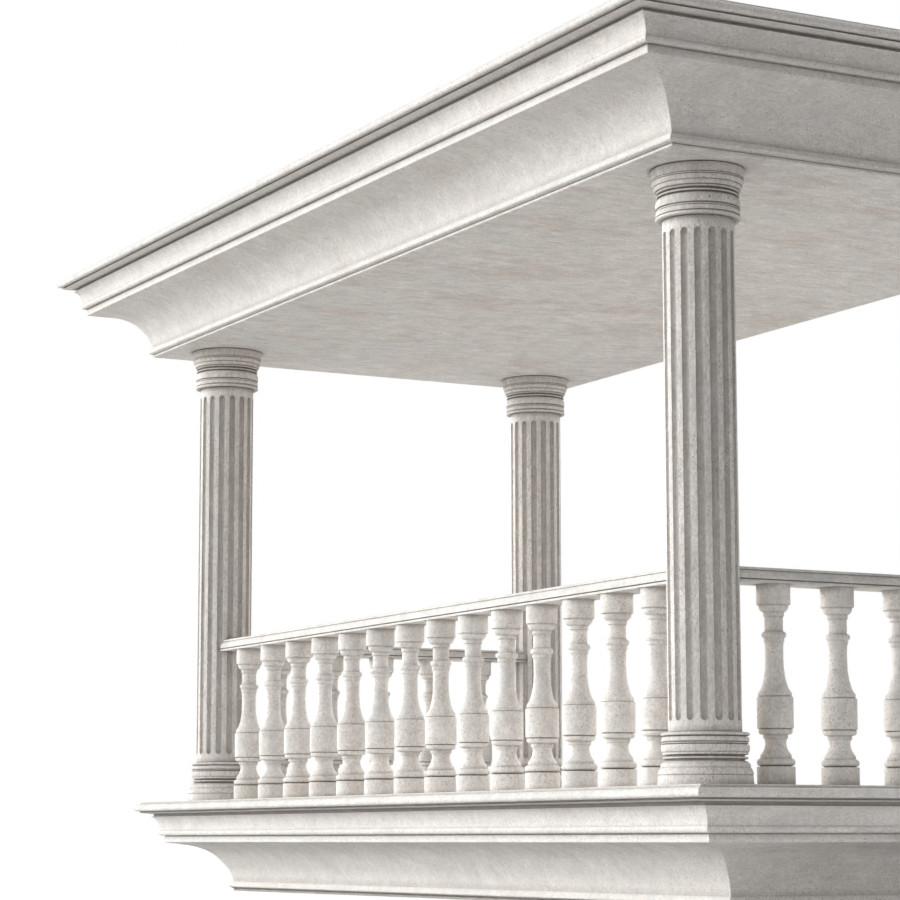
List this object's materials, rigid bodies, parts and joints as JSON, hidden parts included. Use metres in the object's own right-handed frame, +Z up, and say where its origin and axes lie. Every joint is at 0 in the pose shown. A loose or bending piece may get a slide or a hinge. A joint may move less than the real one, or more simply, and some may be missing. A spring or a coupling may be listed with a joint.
{
  "type": "columned stone balcony with balustrades",
  "caption": "Classical stone balcony: fluted round columns on moulded bases carry a flat corniced roof slab, with turned baluster railings along the front and both ends.",
  "frame": {"origin": "middle of the flat underside of the floor slab", "axes": "+Z up, +X along the long side, -Y towards the front with the long balustrade, +Y the open back"},
  "size_m": [7.181, 3.981, 3.954],
  "materials": {
    "roof_stone": "honed limestone, pale warm white, lightly soiled",
    "floor_stone": "honed limestone, pale warm white, lightly soiled",
    "column_stone": "honed limestone with fine pits and soiled flutes",
    "rail_stone": "honed limestone, pale warm white",
    "baluster_stone": "turned limestone with fine pits"
  },
  "bodies": {
    "root": {"back_left_column_base": "column_stone", "back_left_column_capital": "column_stone", "back_left_column_shaft": "column_stone", "back_right_column_base": "column_stone", "back_right_column_capital": "column_stone", "back_right_column_shaft": "column_stone", "floor_cornice_back": "floor_stone", "floor_cornice_front": "floor_stone", "floor_cornice_left": "floor_stone", "floor_cornice_right": "floor_stone", "floor_slab": "floor_stone", "front_balusters": "baluster_stone", "front_left_column_base": "column_stone", "front_left_column_capital": "column_stone", "front_left_column_shaft": "column_stone", "front_rail": "rail_stone", "front_right_column_base": "column_stone", "front_right_column_capital": "column_stone", "front_right_column_shaft": "column_stone", "left_balusters": "baluster_stone", "left_rail": "rail_stone", "right_balusters": "baluster_stone", "right_rail": "rail_stone", "roof_cornice_back": "roof_stone", "roof_cornice_front": "roof_stone", "roof_cornice_left": "roof_stone", "roof_cornice_right": "roof_stone", "roof_slab": "roof_stone"}
  },
  "joints": []
}
